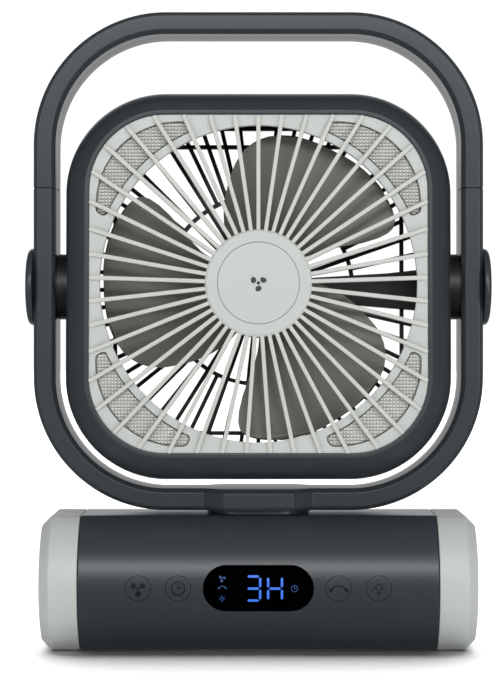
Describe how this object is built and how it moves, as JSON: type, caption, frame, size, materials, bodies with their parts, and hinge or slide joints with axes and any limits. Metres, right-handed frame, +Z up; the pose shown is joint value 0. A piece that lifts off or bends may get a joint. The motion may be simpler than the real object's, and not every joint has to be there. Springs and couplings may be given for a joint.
{
  "type": "portable tilting fan",
  "caption": "Rounded-square fan head with corner lights, tilting in a ring with a carrying handle, on a swinging tubular base with display and buttons.",
  "frame": {"origin": "middle of the plane that the fan stands on, under the swing axis", "axes": "+Z up along the swing axis, -Y out of the front, +X to the right seen from the front"},
  "size_m": [0.243, 0.081, 0.3314],
  "materials": {
    "dark_abs": "fine satin moulding",
    "light_abs": "fine satin moulding",
    "black_abs": "satin moulding",
    "display_glass": "polished",
    "lens_pc": "prismatic",
    "blade_abs": "satin moulding",
    "feet_rubber": "matte",
    "steel": "machined",
    "zinc_screw": "black oxide",
    "acetal": "natural",
    "board_green": "solder mask",
    "cell_wrap": "shrink film",
    "cable_black": "matte",
    "magnet": "sintered",
    "led_digits": "moulded",
    "armature_steel": "stacked sheet"
  },
  "bodies": {
    "base": {"base_housing": "dark_abs", "base_floor": "dark_abs", "base_cap_right": "light_abs", "base_cap_left": "light_abs", "base_feet": "feet_rubber", "base_screws": "zinc_screw", "display_window": "display_glass", "display_module": "led_digits", "control_board": "board_green", "tact_switches": "black_abs", "battery_cells": "cell_wrap", "battery_cradle": "black_abs", "power_board": "board_green", "charge_port": "steel", "swing_motor": "steel", "swivel_bush": "acetal"},
    "yoke": {"swivel_disc": "dark_abs", "swivel_post": "dark_abs", "swing_gear": "acetal", "swivel_retainer": "steel", "handle_tongues": "dark_abs", "ring_screws": "zinc_screw", "pivot_bush_right": "acetal", "pivot_bush_left": "acetal", "friction_washers": "black_abs", "yoke_front_shell": "dark_abs", "yoke_rear_shell": "dark_abs", "handle_front_shell": "dark_abs", "handle_rear_shell": "dark_abs"},
    "head": {"head_front_frame": "dark_abs", "head_rear_shell": "dark_abs", "front_grille": "light_abs", "hub_badge": "light_abs", "led_boards": "board_green", "air_ring": "black_abs", "rear_grille": "black_abs", "duct_cover": "black_abs", "motor_cable": "cable_black", "head_pillars": "black_abs", "head_screws": "zinc_screw", "motor_can": "steel", "motor_magnets": "magnet", "motor_bearings": "steel", "pivot_shaft_right": "dark_abs", "pivot_shaft_left": "dark_abs", "tilt_knob_right": "dark_abs", "tilt_knob_left": "dark_abs", "led_lens_upper_right": "lens_pc", "led_lens_upper_left": "lens_pc", "led_lens_lower_left": "lens_pc", "led_lens_lower_right": "lens_pc"},
    "rotor": {"fan_rotor": "blade_abs", "motor_shaft": "steel", "motor_armature": "armature_steel", "rotor_nut": "steel"},
    "pinion": {"swing_pinion": "acetal"},
    "button_fan": {"button_fan": "dark_abs"},
    "button_timer": {"button_timer": "dark_abs"},
    "button_swing": {"button_swing": "dark_abs"},
    "button_light": {"button_light": "dark_abs"}
  },
  "joints": [
    {"name": "yoke_swing", "type": "hinge", "parent": "base", "child": "yoke", "pos_m": [0, 0, 0.0708], "axis": [0, 0, 1], "range_deg": [-45, 45]},
    {"name": "pinion_turn", "type": "hinge", "parent": "base", "child": "pinion", "pos_m": [-0.028, 0, 0.0585], "axis": [0, 0, 1], "range_deg": [-114, 114]},
    {"name": "head_tilt", "type": "hinge", "parent": "yoke", "child": "head", "pos_m": [0, 0, 0.1885], "axis": [1, 0, 0], "range_deg": [-88.2, 91.8]},
    {"name": "rotor_spin", "type": "hinge", "parent": "head", "child": "rotor", "pos_m": [0, 0, 0.1885], "axis": [0, 0.9995, -0.0314], "continuous": true},
    {"name": "button_fan_press", "type": "slide", "parent": "base", "child": "button_fan", "axis": [0, 1, 0], "range_m": [0, 0.0006], "stiffness_N_per_m": 1200, "springref_m": -0.0005},
    {"name": "button_timer_press", "type": "slide", "parent": "base", "child": "button_timer", "axis": [0, 1, 0], "range_m": [0, 0.0006], "stiffness_N_per_m": 1200, "springref_m": -0.0005},
    {"name": "button_swing_press", "type": "slide", "parent": "base", "child": "button_swing", "axis": [0, 1, 0], "range_m": [0, 0.0006], "stiffness_N_per_m": 1200, "springref_m": -0.0005},
    {"name": "button_light_press", "type": "slide", "parent": "base", "child": "button_light", "axis": [0, 1, 0], "range_m": [0, 0.0006], "stiffness_N_per_m": 1200, "springref_m": -0.0005}
  ],
  "couplings": [
    {"joint": "pinion_turn", "follows": "yoke_swing", "ratio": -2.5}
  ]
}
